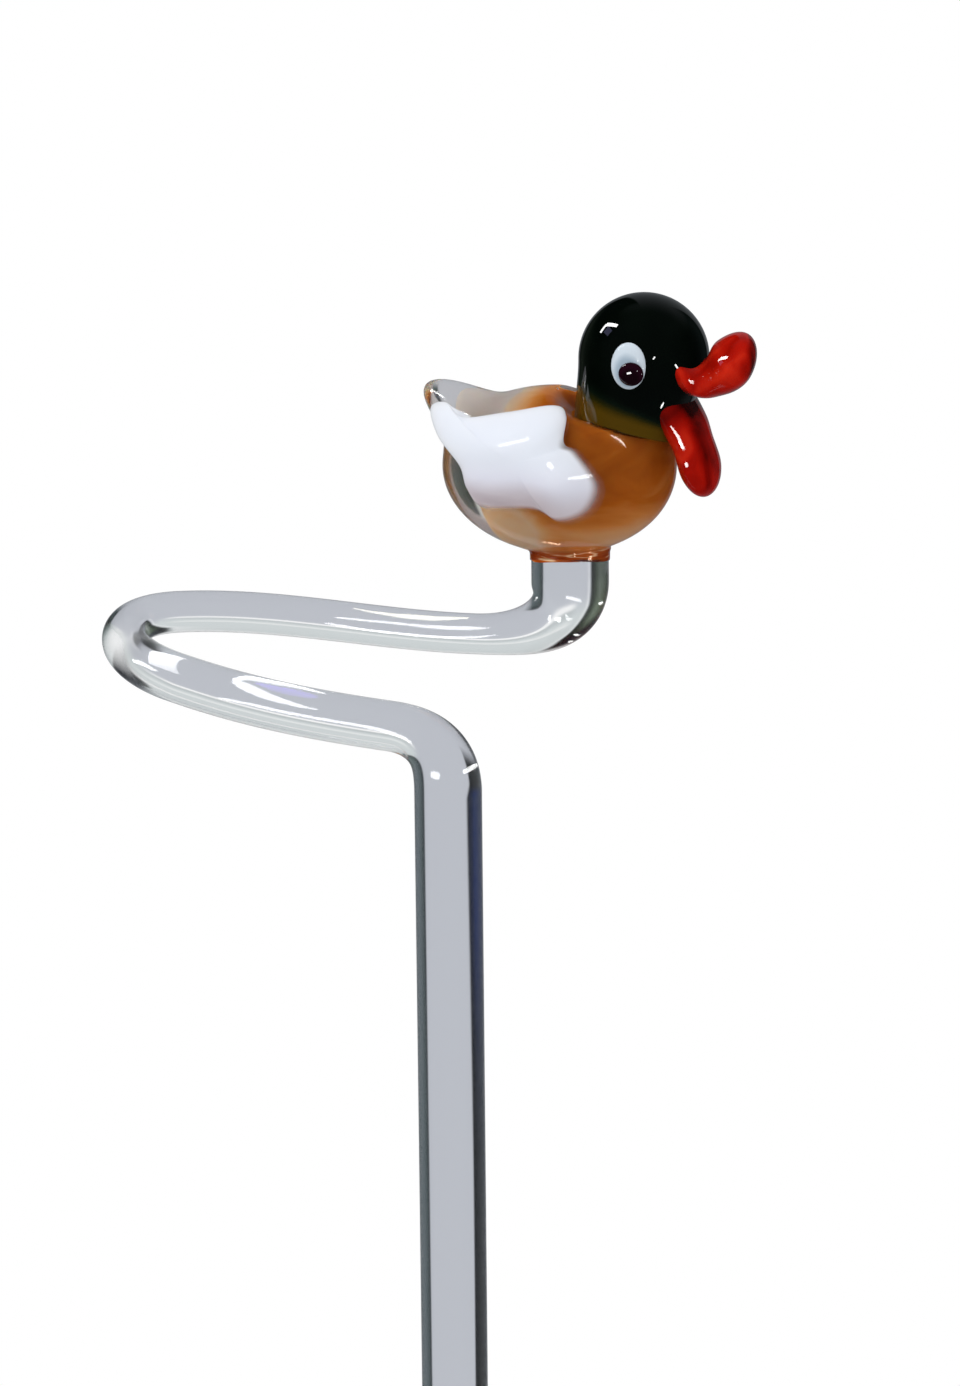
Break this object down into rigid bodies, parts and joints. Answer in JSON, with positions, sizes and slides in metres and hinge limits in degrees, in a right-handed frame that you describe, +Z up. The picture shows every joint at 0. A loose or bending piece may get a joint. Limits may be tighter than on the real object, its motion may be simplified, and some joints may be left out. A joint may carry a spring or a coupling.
{
  "type": "glass orchid stake",
  "caption": "Clear glass plant stake with a hairpin bend that holds an orchid stem, topped by a cased glass duck with opal wings and an open red bill.",
  "frame": {"origin": "centre of the stake's flat foot end", "axes": "+Z up along the straight stake, -X the way the near arm of the hairpin leaves the stake, +Y towards the far arm"},
  "size_m": [0.0694, 0.0316, 0.4949],
  "materials": {
    "clear_glass": "fire polished, clear",
    "casing_glass": "fire polished, clear",
    "amber_glass": "translucent amber, smooth",
    "opal_glass": "opal white, soft gloss",
    "green_glass": "very dark green, glossy",
    "red_glass": "opaque red, glossy",
    "eye_opal": "opal white dot, glossy",
    "pupil_glass": "dark aubergine dot, glossy"
  },
  "bodies": {
    "root": {"stake_rod": "clear_glass", "amber_core": "amber_glass", "clear_casing": "casing_glass", "wing_right": "opal_glass", "wing_left": "opal_glass", "head": "green_glass", "upper_bill": "red_glass", "lower_bill": "red_glass", "eye_white_right": "eye_opal", "eye_white_left": "eye_opal", "pupil_right": "pupil_glass", "pupil_left": "pupil_glass"}
  },
  "joints": []
}
